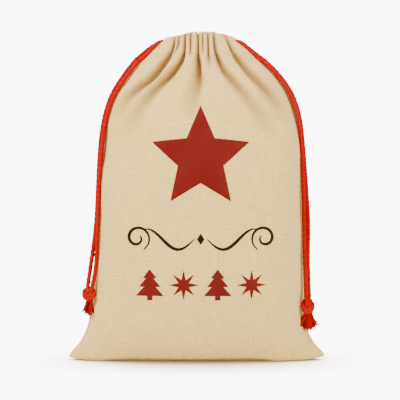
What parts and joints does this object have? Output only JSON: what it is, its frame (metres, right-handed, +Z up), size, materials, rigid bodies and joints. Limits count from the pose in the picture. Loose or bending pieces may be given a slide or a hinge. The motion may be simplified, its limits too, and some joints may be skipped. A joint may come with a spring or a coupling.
{
  "type": "fabric gift sack",
  "caption": "Tall drawstring gift sack of natural linen-cotton cloth with red twisted cords, a red star print and a gathered casing.",
  "frame": {"origin": "on the floor under the middle of the base", "axes": "+Z up through the gathered mouth, -Y out of the printed front, +X towards the right-hand cord as seen from the front"},
  "size_m": [0.493, 0.2125, 0.631],
  "materials": {
    "cloth": "matte plain weave",
    "thread": "matte thread",
    "red_film": "satin heat-pressed film",
    "black_film": "satin heat-pressed film",
    "red_cord": "matte twisted cotton"
  },
  "bodies": {
    "sack": {"front_panel": "cloth", "back_panel": "cloth", "left_side_seam": "cloth", "right_side_seam": "cloth", "bottom_seam": "cloth", "left_seam_stitching": "thread", "right_seam_stitching": "thread", "bottom_seam_stitching": "thread", "star_print": "red_film", "scroll_print": "black_film", "ornament_print": "red_film"},
    "front_lip": {"front_casing": "cloth", "front_casing_stitching": "thread", "front_bar_tacks": "thread", "left_cord_front_lead": "red_cord", "right_cord_front_lead": "red_cord"},
    "back_lip": {"back_casing": "cloth", "back_casing_stitching": "thread", "back_bar_tacks": "thread", "left_cord_back_lead": "red_cord", "right_cord_back_lead": "red_cord"},
    "left_cord": {"left_cord_front_strand": "red_cord", "left_cord_back_strand": "red_cord", "left_knot": "red_cord", "left_frayed_end": "red_cord"},
    "right_cord": {"right_cord_front_strand": "red_cord", "right_cord_back_strand": "red_cord", "right_knot": "red_cord", "right_frayed_end": "red_cord"}
  },
  "joints": [
    {"name": "mouth_front", "type": "slide", "parent": "sack", "child": "front_lip", "axis": [0, -1, 0], "range_m": [0, 0.018]},
    {"name": "mouth_back", "type": "slide", "parent": "sack", "child": "back_lip", "axis": [0, 1, 0], "range_m": [0, 0.018]},
    {"name": "left_cord_swing", "type": "hinge", "parent": "sack", "child": "left_cord", "pos_m": [-0.113, -0.0105, 0.578], "axis": [0, 1, 0], "range_deg": [0, 75]},
    {"name": "right_cord_swing", "type": "hinge", "parent": "sack", "child": "right_cord", "pos_m": [0.12925, -0.0109, 0.57625], "axis": [0, -1, 0], "range_deg": [0, 75]}
  ],
  "couplings": [
    {"joint": "mouth_back", "follows": "mouth_front", "ratio": 1}
  ]
}
